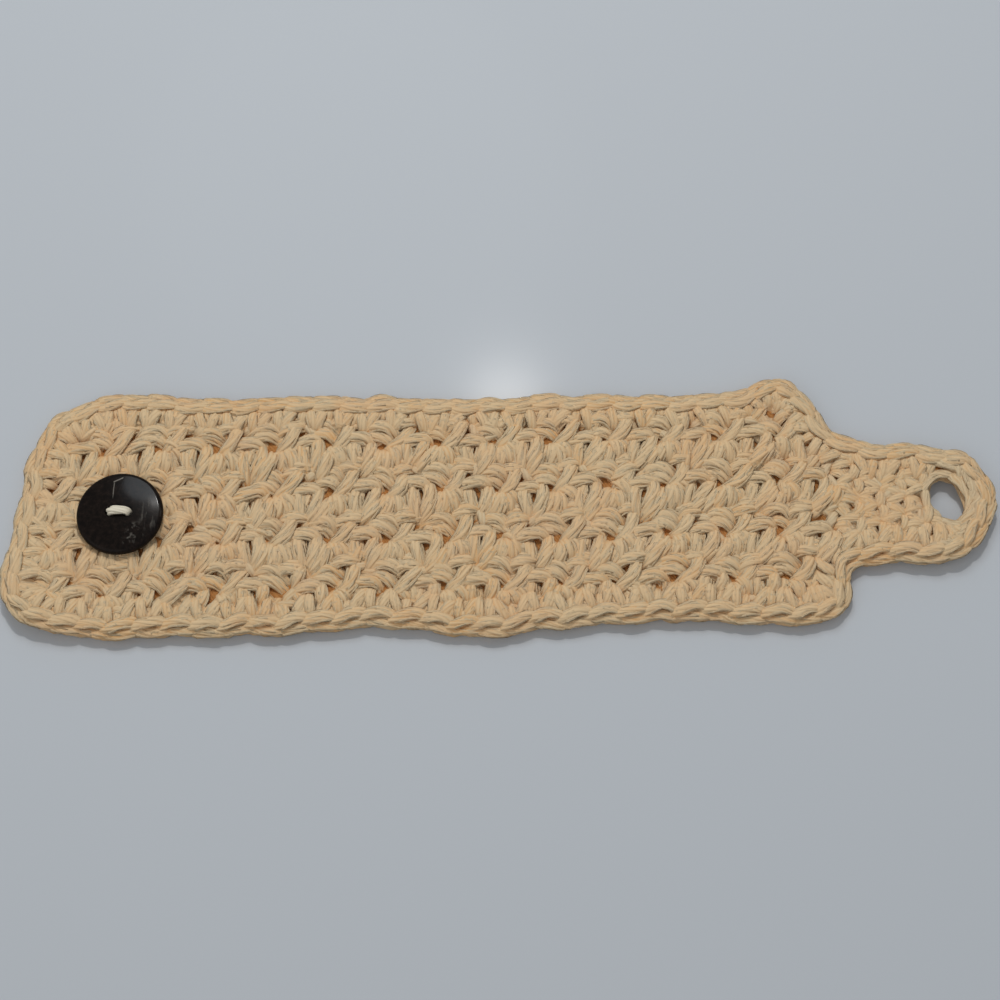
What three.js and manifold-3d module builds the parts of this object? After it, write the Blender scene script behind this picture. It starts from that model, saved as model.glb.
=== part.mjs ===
// A crocheted cup cozy, opened out and lying flat: a body of clustered stitches, a narrower tab with
// an open buttonhole, one round of edging along the whole outline, and a two-hole coconut button sewn
// on near the other end. Millimetres. +X runs along the wrap toward the tab, +Y across it toward the
// back edge, +Z up, with the origin under the middle of the outline.

import * as THREE from "three";
import { mergeVertices } from "three/addons/utils/BufferGeometryUtils.js";
import Module from "manifold-3d";

const wasm = await Module();
wasm.setup();

const GAP = 0.3;

// The clustered stitches repeat along the rows and from row to row, and each one stands up a little.
const FABRIC = {
  thickness: 4.6,
  clusterPitch: 16.2,
  rowPitch: 15,
  clusterHeight: 0.35,
  gridStep: 4.5,
};

// The edging's section has a flat foot and rounded shoulders.
const EDGING = {
  width: 4.6,
  height: 4.8,
  footWidth: 3,
  crownWidth: 2,
  rings: 168,
};

// The back edge waves a little with the clusters it is worked into.
const SCALLOP = { height: 0.5, phase: -1.7, fromX: -110, toX: 66 };

// Where the cloth curls off the table: centre and reach of each lifted patch.
const LIFTS = [
  { name: "front left corner", x: -146, y: -36, reach: 34, height: 2 },
  { name: "flared back corner", x: 86, y: 44, reach: 24, height: 1.4 },
];
const TAB_LIFT = { fromX: 98, toX: 146, height: 1.5 };

const TAB = { seamX: 96.3, gridStep: 3 };
const BUTTONHOLE = { x: 129.2, y: 1.9, width: 9.2, length: 12.2, lean: 10, segments: 32 };

const BUTTON = {
  x: -110.3,
  y: -3.7,
  diameter: 25,
  thickness: 3.6,
  rimRadius: 1.5,
  crown: 0.5,
  holeDiameter: 3,
  holeSpacing: 5,
  segments: 56,
};

const BUTTON_SEAT = FABRIC.thickness + FABRIC.clusterHeight + GAP;
const BUTTON_TOP = BUTTON_SEAT + BUTTON.thickness;

const SEWING_YARN = { diameter: 2.2, bendRadius: 1.4, sides: 12, backClearance: 0.1 };

// The outer edge of the edging, once round from the front left corner.
const OUTLINE = [
  { x: -142.9, y: -21 },
  { x: -142, y: -28 },
  { x: -137.5, y: -34.5 },
  { x: -128.7, y: -37.9 },
  { x: -115, y: -40 },
  { x: -98, y: -39.2 },
  { x: -84, y: -39.2 },
  { x: -66, y: -38.9 },
  { x: -48, y: -37.4 },
  { x: -30, y: -36.6 },
  { x: -10, y: -39.3 },
  { x: 2, y: -38.8 },
  { x: 14, y: -36.9 },
  { x: 34, y: -35.4 },
  { x: 56, y: -34.6 },
  { x: 74, y: -35.6 },
  { x: 87, y: -35.8 },
  { x: 94, y: -34 },
  { x: 98.2, y: -30 },
  { x: 99.6, y: -24.5 },
  { x: 100.6, y: -19.5 },
  { x: 104.8, y: -17.6 },
  { x: 114, y: -17.2 },
  { x: 125, y: -17.6 },
  { x: 131.6, y: -15.9 },
  { x: 136.8, y: -11.6 },
  { x: 140.6, y: -6.3 },
  { x: 142.7, y: -0.5 },
  { x: 142.6, y: 5.2 },
  { x: 140.2, y: 11.2 },
  { x: 136, y: 15.9 },
  { x: 130, y: 17.4 },
  { x: 122, y: 18.9 },
  { x: 113, y: 19.3 },
  { x: 105, y: 20.3 },
  { x: 99.5, y: 22.3 },
  { x: 95.3, y: 26.5 },
  { x: 92.3, y: 31.3 },
  { x: 89, y: 36.3 },
  { x: 84, y: 39.9 },
  { x: 78, y: 39.6 },
  { x: 71, y: 37.2 },
  { x: 63, y: 35.8 },
  { x: 48, y: 35.2 },
  { x: 30, y: 35.4 },
  { x: 12, y: 35 },
  { x: -4, y: 34.2 },
  { x: -22, y: 34.2 },
  { x: -44, y: 34.9 },
  { x: -66, y: 34.8 },
  { x: -84, y: 33.9 },
  { x: -100, y: 34.8 },
  { x: -112, y: 35.6 },
  { x: -120, y: 34.2 },
  { x: -127, y: 31.4 },
  { x: -133, y: 27.6 },
  { x: -136.8, y: 21.5 },
  { x: -139, y: 13 },
  { x: -140.1, y: 3 },
  { x: -141.6, y: -9 },
];

const YARN_MATERIAL = { color: 0xd9c4a0, roughness: 0.92, metalness: 0 };
const SHELL_MATERIAL = { color: 0x2a211b, roughness: 0.42, metalness: 0 };

// Height of the curled patches above the table.
function lift(x, y) {
  const tab = TAB_LIFT.height * THREE.MathUtils.smoothstep(x, TAB_LIFT.fromX, TAB_LIFT.toX);
  const patches = LIFTS.map((patch) => {
    const nearness = 1 - Math.hypot(x - patch.x, y - patch.y) / patch.reach;
    return patch.height * THREE.MathUtils.smoothstep(nearness, 0, 1);
  });
  return patches.reduce((sum, height) => sum + height, tab);
}

// The stitches' low relief on the upper face.
function clusterRelief(x, y) {
  const along = Math.cos((2 * Math.PI * x) / FABRIC.clusterPitch);
  const across = Math.cos((2 * Math.PI * y) / FABRIC.rowPitch);
  return FABRIC.clusterHeight * along * across;
}

// Evenly spaced places on the outline, each with its outward direction.
function outlineRings() {
  const corners = OUTLINE.map(({ x, y }) => new THREE.Vector3(x, y, 0));
  const curve = new THREE.CatmullRomCurve3(corners, true, "centripetal");
  return Array.from({ length: EDGING.rings }, (_, ring) => {
    const point = curve.getPointAt(ring / EDGING.rings);
    const tangent = curve.getTangentAt(ring / EDGING.rings);
    const outward = new THREE.Vector2(tangent.y, -tangent.x);
    const onBackEdge = outward.y > 0 && point.x > SCALLOP.fromX && point.x < SCALLOP.toX;
    const wave = Math.cos((2 * Math.PI * (point.x - SCALLOP.phase)) / FABRIC.clusterPitch);
    const rise = onBackEdge ? SCALLOP.height * wave : 0;
    return { x: point.x + outward.x * rise, y: point.y + outward.y * rise, outward };
  });
}

const RINGS = outlineRings();

// The outline moved inward by a distance, as a closed shape.
function insetShape(distance) {
  const points = RINGS.map(({ x, y, outward }) => {
    return new THREE.Vector2(x - outward.x * distance, y - outward.y * distance);
  });
  return new THREE.Shape(points);
}

function toSolid(geometry) {
  const bare = geometry.clone();
  bare.deleteAttribute("normal");
  bare.deleteAttribute("uv");
  const merged = mergeVertices(bare);
  return new wasm.Manifold(
    new wasm.Mesh({
      numProp: 3,
      vertProperties: new Float32Array(merged.attributes.position.array),
      triVerts: new Uint32Array(merged.index.array),
    }),
  );
}

function toGeometry(solid) {
  const mesh = solid.getMesh();
  const geometry = new THREE.BufferGeometry();
  geometry.setAttribute("position", new THREE.BufferAttribute(mesh.vertProperties, 3));
  geometry.setIndex(new THREE.BufferAttribute(mesh.triVerts, 1));
  return geometry;
}

// An upright prism of a flat shape, tall enough to cut right through the cloth.
function prism(shape) {
  const reach = FABRIC.thickness * 2;
  const geometry = new THREE.ExtrudeGeometry(shape, {
    depth: reach * 2,
    bevelEnabled: false,
    curveSegments: BUTTONHOLE.segments,
  });
  geometry.translate(0, 0, -reach);
  return toSolid(geometry);
}

// A sheet of cloth over a rectangle: flat below, in low relief above, following the curled patches.
function clothSlab(minX, maxX, minY, maxY, gridStep) {
  const columns = Math.round((maxX - minX) / gridStep);
  const rows = Math.round((maxY - minY) / gridStep);
  const geometry = new THREE.BoxGeometry(maxX - minX, maxY - minY, FABRIC.thickness, columns, rows, 1);
  geometry.translate((minX + maxX) / 2, (minY + maxY) / 2, FABRIC.thickness / 2);
  const position = geometry.attributes.position;
  for (let i = 0; i < position.count; i += 1) {
    const [x, y, z] = [position.getX(i), position.getY(i), position.getZ(i)];
    const relief = z > FABRIC.thickness / 2 ? clusterRelief(x, y) : 0;
    position.setZ(i, z + relief + lift(x, y));
  }
  return toSolid(geometry);
}

// The part of the cloth inside the edging, on one side of the seam between body and tab.
function clothInsideEdging(minX, maxX, gridStep) {
  const ys = OUTLINE.map(({ y }) => y);
  const slab = clothSlab(minX, maxX, Math.min(...ys), Math.max(...ys), gridStep);
  return slab.intersect(prism(insetShape(EDGING.width + GAP)));
}

// The yarn's closed loop through the button and the body, as a round section swept along it.
function sewingLoop(radius) {
  const halfWidth = BUTTON.holeSpacing / 2;
  const bend = SEWING_YARN.bendRadius;
  const bottom = SEWING_YARN.backClearance + SEWING_YARN.diameter / 2;
  const top = BUTTON_TOP + GAP + SEWING_YARN.diameter / 2;
  const centres = [
    { x: halfWidth - bend, z: bottom + bend, from: -90 },
    { x: halfWidth - bend, z: top - bend, from: 0 },
    { x: bend - halfWidth, z: top - bend, from: 90 },
    { x: bend - halfWidth, z: bottom + bend, from: 180 },
  ];
  const stepsPerBend = 4;
  const stations = centres.flatMap((centre) => {
    return Array.from({ length: stepsPerBend + 1 }, (_, step) => {
      const angle = THREE.MathUtils.degToRad(centre.from + (90 * step) / stepsPerBend);
      const outward = new THREE.Vector3(Math.cos(angle), 0, Math.sin(angle));
      const place = outward.clone().multiplyScalar(bend).add(new THREE.Vector3(centre.x, 0, centre.z));
      return { place, outward };
    });
  });
  const across = new THREE.Vector3(0, 1, 0);
  const loop = sweptRing(
    stations,
    SEWING_YARN.sides,
    ({ place, outward }, side) => {
      const angle = (2 * Math.PI * side) / SEWING_YARN.sides;
      return place
        .clone()
        .addScaledVector(outward, radius * Math.cos(angle))
        .addScaledVector(across, radius * Math.sin(angle));
    },
  );
  return loop.translate(BUTTON.x, BUTTON.y, 0);
}

// A closed ring of quads: every station carries the same number of section points.
function sweptRing(stations, sides, sectionPoint) {
  const positions = stations.flatMap((station) => {
    return Array.from({ length: sides }, (_, side) => sectionPoint(station, side).toArray()).flat();
  });
  const indices = [];
  for (let ring = 0; ring < stations.length; ring += 1) {
    const nextRing = (ring + 1) % stations.length;
    for (let side = 0; side < sides; side += 1) {
      const nextSide = (side + 1) % sides;
      const a = ring * sides + side;
      const b = ring * sides + nextSide;
      const c = nextRing * sides + nextSide;
      const d = nextRing * sides + side;
      indices.push(a, b, c, a, c, d);
    }
  }
  const geometry = new THREE.BufferGeometry();
  geometry.setAttribute("position", new THREE.Float32BufferAttribute(positions, 3));
  geometry.setIndex(indices);
  return geometry;
}

// The round body of the button, with a rounded rim and a slight crown.
function buttonBlank() {
  const radius = BUTTON.diameter / 2;
  const rim = BUTTON.rimRadius;
  const rimHeight = BUTTON.thickness - BUTTON.crown;
  const stepsPerRim = 4;
  const profile = [new THREE.Vector2(0, 0)];
  for (let step = 0; step <= stepsPerRim; step += 1) {
    const angle = THREE.MathUtils.degToRad(-90 + (90 * step) / stepsPerRim);
    profile.push(new THREE.Vector2(radius - rim + rim * Math.cos(angle), rim + rim * Math.sin(angle)));
  }
  for (let step = 0; step <= stepsPerRim; step += 1) {
    const angle = THREE.MathUtils.degToRad((90 * step) / stepsPerRim);
    profile.push(
      new THREE.Vector2(radius - rim + rim * Math.cos(angle), rimHeight - rim + rim * Math.sin(angle)),
    );
  }
  profile.push(new THREE.Vector2(0, BUTTON.thickness));
  return new THREE.LatheGeometry(profile, BUTTON.segments).rotateX(Math.PI / 2);
}

function buildPanel() {
  const minX = Math.min(...OUTLINE.map(({ x }) => x));
  const cloth = clothInsideEdging(minX, TAB.seamX - GAP / 2, FABRIC.gridStep);
  return toGeometry(cloth.subtract(toSolid(sewingLoop(SEWING_YARN.diameter / 2 + GAP))));
}

function buildButtonTab() {
  const maxX = Math.max(...OUTLINE.map(({ x }) => x));
  const cloth = clothInsideEdging(TAB.seamX + GAP / 2, maxX, TAB.gridStep);
  const hole = new THREE.Shape().absellipse(
    BUTTONHOLE.x,
    BUTTONHOLE.y,
    BUTTONHOLE.width / 2,
    BUTTONHOLE.length / 2,
    0,
    2 * Math.PI,
    false,
    THREE.MathUtils.degToRad(BUTTONHOLE.lean),
  );
  return toGeometry(cloth.subtract(prism(hole)));
}

function buildEdging() {
  const half = EDGING.width / 2;
  const outerSide = [
    { u: EDGING.crownWidth / 2, z: EDGING.height },
    { u: half * 0.85, z: EDGING.height * 0.82 },
    { u: half, z: EDGING.height * 0.5 },
    { u: half * 0.95, z: EDGING.height * 0.2 },
    { u: EDGING.footWidth / 2, z: 0 },
  ];
  const innerSide = outerSide.map(({ u, z }) => ({ u: -u, z })).reverse();
  const section = [...outerSide, ...innerSide];
  return sweptRing(RINGS, section.length, ({ x, y, outward }, side) => {
    const { u, z } = section[side];
    const [placeX, placeY] = [x + outward.x * (u - half), y + outward.y * (u - half)];
    return new THREE.Vector3(placeX, placeY, z + lift(placeX, placeY));
  });
}

function buildButton() {
  const place = (geometry) => geometry.translate(BUTTON.x, BUTTON.y, BUTTON_SEAT);
  const blank = toSolid(place(buttonBlank()));
  const drills = [-1, 1].map((side) => {
    const drill = new THREE.CylinderGeometry(
      BUTTON.holeDiameter / 2,
      BUTTON.holeDiameter / 2,
      BUTTON.thickness * 3,
      SEWING_YARN.sides * 2,
    );
    drill.rotateX(Math.PI / 2).translate((side * BUTTON.holeSpacing) / 2, 0, BUTTON.thickness / 2);
    return toSolid(place(drill));
  });
  return toGeometry(drills.reduce((solid, drill) => solid.subtract(drill), blank));
}

function namedMesh(name, geometry, material) {
  const mesh = new THREE.Mesh(geometry, new THREE.MeshStandardMaterial(material));
  mesh.name = name;
  return mesh;
}

const cozy = new THREE.Group();
cozy.add(
  namedMesh("panel", buildPanel(), YARN_MATERIAL),
  namedMesh("button_tab", buildButtonTab(), YARN_MATERIAL),
  namedMesh("edging", buildEdging(), YARN_MATERIAL),
  namedMesh("button", buildButton(), SHELL_MATERIAL),
  namedMesh("sewing_yarn", sewingLoop(SEWING_YARN.diameter / 2), YARN_MATERIAL),
);

export default cozy;
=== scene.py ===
"""A crocheted cup cozy lying open and flat: the looks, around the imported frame."""

import math
import random

import bmesh
import bpy
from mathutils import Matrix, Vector, noise


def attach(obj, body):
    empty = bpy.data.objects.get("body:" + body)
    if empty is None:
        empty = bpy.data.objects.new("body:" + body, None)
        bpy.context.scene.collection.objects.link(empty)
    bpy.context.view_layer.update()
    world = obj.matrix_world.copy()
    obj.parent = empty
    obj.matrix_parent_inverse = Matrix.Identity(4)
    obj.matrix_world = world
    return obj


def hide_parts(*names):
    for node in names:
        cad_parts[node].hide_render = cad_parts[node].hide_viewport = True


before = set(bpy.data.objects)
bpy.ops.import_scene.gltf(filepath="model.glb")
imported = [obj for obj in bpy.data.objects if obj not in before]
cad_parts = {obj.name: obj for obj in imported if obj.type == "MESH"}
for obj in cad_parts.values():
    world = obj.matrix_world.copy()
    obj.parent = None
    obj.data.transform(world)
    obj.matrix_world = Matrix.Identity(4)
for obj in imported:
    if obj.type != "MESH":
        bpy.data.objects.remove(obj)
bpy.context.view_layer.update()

# ---------------------------------------------------------------------------------------------------
# The body's ground. A crocheted body is one layer of looped yarn: behind the clusters that stand up
# lies a closed layer of tight loops. Its sheet is coloured a dark warm brown, which is painted shade
# for the small holes between the clusters; the real loops are the yarn's cream.
# ---------------------------------------------------------------------------------------------------

MM = 0.001

# The outer edge of the whole wrap, once round from the front left corner, in millimetres: x, y.
OUTLINE = [
    (-142.9, -21), (-142, -28), (-137.5, -34.5), (-128.7, -37.9), (-115, -40), (-98, -39.2),
    (-84, -39.2), (-66, -38.9), (-48, -37.4), (-30, -36.6), (-10, -39.3), (2, -38.8),
    (14, -36.9), (34, -35.4), (56, -34.6), (74, -35.6), (87, -35.8), (94, -34),
    (98.2, -30), (99.6, -24.5), (100.6, -19.5), (104.8, -17.6), (114, -17.2), (125, -17.6),
    (131.6, -15.9), (136.8, -11.6), (140.6, -6.3), (142.7, -0.5), (142.6, 5.2), (140.2, 11.2),
    (136, 15.9), (130, 17.4), (122, 18.9), (113, 19.3), (105, 20.3), (99.5, 22.3),
    (95.3, 26.5), (92.3, 31.3), (89, 36.3), (84, 39.9), (78, 39.6), (71, 37.2),
    (63, 35.8), (48, 35.2), (30, 35.4), (12, 35), (-4, 34.2), (-22, 34.2),
    (-44, 34.9), (-66, 34.8), (-84, 33.9), (-100, 34.8), (-112, 35.6), (-120, 34.2),
    (-127, 31.4), (-133, 27.6), (-136.8, 21.5), (-139, 13), (-140.1, 3), (-141.6, -9),
]
STEPS_PER_SPAN = 8
SEAM_X = 96.3


def catmull(p0, p1, p2, p3, t):
    """A point on the smooth curve from p1 to p2."""
    return tuple(
        0.5 * (2 * b + (c - a) * t + (2 * a - 5 * b + 4 * c - d) * t**2 + (3 * b - a - 3 * c + d) * t**3)
        for a, b, c, d in zip(p0, p1, p2, p3)
    )


def rounded_outline():
    """The outline as many short steps, with the distance walked to each."""
    count = len(OUTLINE)
    points = []
    for i in range(count):
        around = [OUTLINE[(i + k) % count] for k in (-1, 0, 1, 2)]
        points += [Vector(catmull(*around, step / STEPS_PER_SPAN)) for step in range(STEPS_PER_SPAN)]
    walked = [0.0]
    for a, b in zip(points, points[1:] + points[:1]):
        walked.append(walked[-1] + (b - a).length)
    return points, walked


EDGE_POINTS, EDGE_WALKED = rounded_outline()
EDGE_LENGTH = EDGE_WALKED[-1]


def on_edge(distance, inset):
    """The place that far round the outline and that far in from it, with its inward direction."""
    distance %= EDGE_LENGTH
    low, high = 0, len(EDGE_POINTS)
    while high - low > 1:
        middle = (low + high) // 2
        if EDGE_WALKED[middle] <= distance:
            low = middle
        else:
            high = middle
    count = len(EDGE_POINTS)
    a, b = EDGE_POINTS[low], EDGE_POINTS[(low + 1) % count]
    before, after = EDGE_POINTS[low - 1], EDGE_POINTS[(low + 2) % count]
    share = (distance - EDGE_WALKED[low]) / (EDGE_WALKED[low + 1] - EDGE_WALKED[low])
    ahead = ((b - before).normalized().lerp((after - a).normalized(), share)).normalized()
    inward = Vector((-ahead.y, ahead.x))
    return a.lerp(b, share) + inward * inset, inward


def inside_by(x, y):
    """How far inside the outline a place is, in millimetres; less than nothing outside it."""
    here = Vector((x, y))
    nearest = 1e9
    inside = False
    previous = EDGE_POINTS[-1]
    for point in EDGE_POINTS:
        step = point - previous
        share = max(0, min(1, (here - previous).dot(step) / max(step.length_squared, 1e-9)))
        nearest = min(nearest, (here - previous - step * share).length)
        if (point.y > y) != (previous.y > y):
            if x < previous.x + (y - previous.y) / (point.y - previous.y) * step.x:
                inside = not inside
        previous = point
    return nearest if inside else -nearest


def smooth(low, high, value):
    """0 below low, 1 above high and an even rise between."""
    share = max(0.0, min(1.0, (value - low) / (high - low)))
    return share * share * (3 - 2 * share)


def lift(x, y):
    """How far the cloth curls off the table: at the tab, the front left corner and the flared one."""
    tab = 1.5 * smooth(98, 146, x)
    front = 2.0 * smooth(0, 1, 1 - math.hypot(x + 146, y + 36) / 34)
    flared = 1.4 * smooth(0, 1, 1 - math.hypot(x - 86, y - 44) / 24)
    return tab + front + flared


class Graph:
    """Adds nodes to one tree, with their settings first and then the values or links of their sockets."""

    def __init__(self, tree):
        self.tree = tree

    def node(self, kind, settings=None, sockets=None):
        made = self.tree.nodes.new(kind)
        for name, value in (settings or {}).items():
            setattr(made, name, value)
        for key, value in (sockets or {}).items():
            self.feed(made.inputs[key], value)
        return made

    def number(self, operation, *values):
        made = self.node("ShaderNodeMath", {"operation": operation}, dict(enumerate(values)))
        return Number(self, made.outputs[0])

    def feed(self, socket, value):
        value = getattr(value, "socket", value)
        if isinstance(value, bpy.types.NodeSocket):
            self.tree.links.new(value, socket)
        else:
            socket.default_value = value


class Number:
    """A socket that carries a number, with arithmetic that adds the Math nodes it needs."""

    def __init__(self, graph, socket):
        self.graph = graph
        self.socket = socket

    def math(self, operation, *others):
        return self.graph.number(operation, self, *others)

    def __add__(self, other):
        return self.math("ADD", other)

    __radd__ = __add__

    def __mul__(self, other):
        return self.math("MULTIPLY", other)

    __rmul__ = __mul__

    def __truediv__(self, other):
        return self.math("DIVIDE", other)

    def __sub__(self, other):
        return self.math("SUBTRACT", other)

    def __rsub__(self, other):
        return self.graph.number("SUBTRACT", other, self)

    def step(self, low, high):
        """0 below low, 1 above high and smooth between."""
        sockets = {"Value": self, "From Min": low, "From Max": high}
        made = self.graph.node("ShaderNodeMapRange", {"interpolation_type": "SMOOTHSTEP"}, sockets)
        return Number(self.graph, made.outputs["Result"])


def new_material(name):
    material = bpy.data.materials.new(name)
    material.use_nodes = True
    graph = Graph(material.node_tree)
    return material, graph, material.node_tree.nodes["Principled BSDF"]


def attribute(graph, name):
    made = graph.node("ShaderNodeAttribute", {"attribute_name": name})
    return Number(graph, made.outputs["Fac"])


def texture(graph, kind, vector, scale, **sockets):
    made = graph.node(kind, sockets={"Vector": vector, "Scale": scale, **sockets})
    return Number(graph, made.outputs[0])


def blend(graph, share, low, high):
    """A colour between two others."""
    made = graph.node("ShaderNodeMix", {"data_type": "RGBA"}, {0: share, 6: low, 7: high})
    return made.outputs[2]


def painted_shade_ground_material():
    """Tight loops deep in the cloth: a strand and fibre pattern in dark warm brown, which is painted shade.
    """
    material, graph, shader = new_material("ground_loops_painted_shade")
    place = graph.node("ShaderNodeTexCoord").outputs["Object"]
    sway = texture(graph, "ShaderNodeTexNoise", place, 160.0, Detail=2.0)
    axes = graph.node("ShaderNodeSeparateXYZ", sockets={0: place}).outputs
    slant = (Number(graph, axes[0]) + Number(graph, axes[1]) * 0.8) * 2600 + sway * 14
    strands = slant.math("SINE").math("ABSOLUTE")
    fibres = texture(graph, "ShaderNodeTexNoise", place, 1500.0, Detail=3.0)
    shade = strands * 0.3 + fibres * 0.7
    # Painted shade: both colours are far darker and warmer than the yarn, standing in for the shade in the
    # holes.
    colour = blend(graph, shade, (0.42, 0.16, 0.045, 1), (0.64, 0.31, 0.11, 1))
    graph.feed(shader.inputs["Base Color"], colour)
    shader.inputs["Roughness"].default_value = 0.95
    shader.inputs["Specular IOR Level"].default_value = 0.05
    bump = graph.node("ShaderNodeBump", sockets={"Distance": 0.5 * MM, "Height": shade})
    graph.feed(shader.inputs["Normal"], bump.outputs[0])
    return material


GROUND_TOP = 2.8
GROUND_THICK = 1.2
GROUND_INSET = 5.2
GROUND_LEFT = -136.5
GROUND_CELL = 3.2
GROUND_ROWS = 41
GROUND = painted_shade_ground_material()


def ground_sheet(name, left, right, hole=None):
    """A wavy sheet inside the edging from one x to another, with an oval hole where one is given."""
    loop = [on_edge(distance, GROUND_INSET)[0] for distance in range(0, int(EDGE_LENGTH))]
    columns = 2 * round((right - left) / GROUND_CELL) + 1
    rows = GROUND_ROWS
    vertices = []
    for i in range(columns):
        share = i / (columns - 1)
        x = left + (right - left) * share
        crossed = [
            a.y + (b.y - a.y) * (x - a.x) / (b.x - a.x)
            for a, b in zip(loop, loop[1:] + loop[:1])
            if (a.x - x) * (b.x - x) <= 0 and a.x != b.x
        ]
        low, high = min(crossed), max(crossed)
        for j in range(rows):
            y = low + (high - low) * j / (rows - 1)
            ripple = 0.3 * noise.noise(Vector((x / 5, y / 5, 3)))
            vertices.append(Vector((x, y, GROUND_TOP + ripple + lift(x, y))) * MM)
    faces = [
        (i * rows + j, (i + 1) * rows + j, (i + 1) * rows + j + 1, i * rows + j + 1)
        for i in range(columns - 1)
        for j in range(rows - 1)
    ]
    mesh = bpy.data.meshes.new(name)
    mesh.from_pydata(vertices, [], faces)
    if hole:
        cut_oval(mesh, *hole)
    mesh.materials.append(GROUND)
    sheet = bpy.data.objects.new(name, mesh)
    bpy.context.scene.collection.objects.link(sheet)
    solidify = sheet.modifiers.new("thickness", "SOLIDIFY")
    solidify.thickness = GROUND_THICK * MM
    solidify.offset = -1
    return plain_mesh(sheet)


def cut_oval(mesh, x, y, half_width, half_length):
    """Deletes the faces over an oval and draws the rim's corners onto it."""
    edit = bmesh.new()
    edit.from_mesh(mesh)
    centre = Vector((x, y)) * MM

    def reach(place):
        return math.hypot((place.x - centre.x) / half_width, (place.y - centre.y) / half_length) / MM

    doomed = [face for face in edit.faces if reach(face.calc_center_median()) < 1]
    bmesh.ops.delete(edit, geom=doomed, context="FACES")
    for vertex in edit.verts:
        if vertex.is_boundary and reach(vertex.co) < 1.6:
            factor = 1 / reach(vertex.co)
            vertex.co.x = centre.x + (vertex.co.x - centre.x) * factor
            vertex.co.y = centre.y + (vertex.co.y - centre.y) * factor
    edit.to_mesh(mesh)
    edit.free()


def plain_mesh(piece):
    """Turns a piece's modifiers into its mesh."""
    bpy.context.view_layer.update()
    evaluated = piece.evaluated_get(bpy.context.evaluated_depsgraph_get())
    mesh = bpy.data.meshes.new_from_object(evaluated)
    piece.modifiers.clear()
    piece.data = mesh
    mesh.name = piece.name
    return piece


body_ground = ground_sheet("body_ground", GROUND_LEFT, SEAM_X)
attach(body_ground, "root")
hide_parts("panel")

# ---------------------------------------------------------------------------------------------------
# The body's stitches. Each repeat of the clustered stitch is fourteen visible strands of four-ply
# cotton: a tall loop round a small hole, a fan that spreads from an eye, and the slanting strands
# of the row above. The hook works them into one another, so their ends dive into the ground.
# ---------------------------------------------------------------------------------------------------

YARN_RADIUS = 1.3
PLIES = 4
TWIST_PITCH = 24.0


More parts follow.
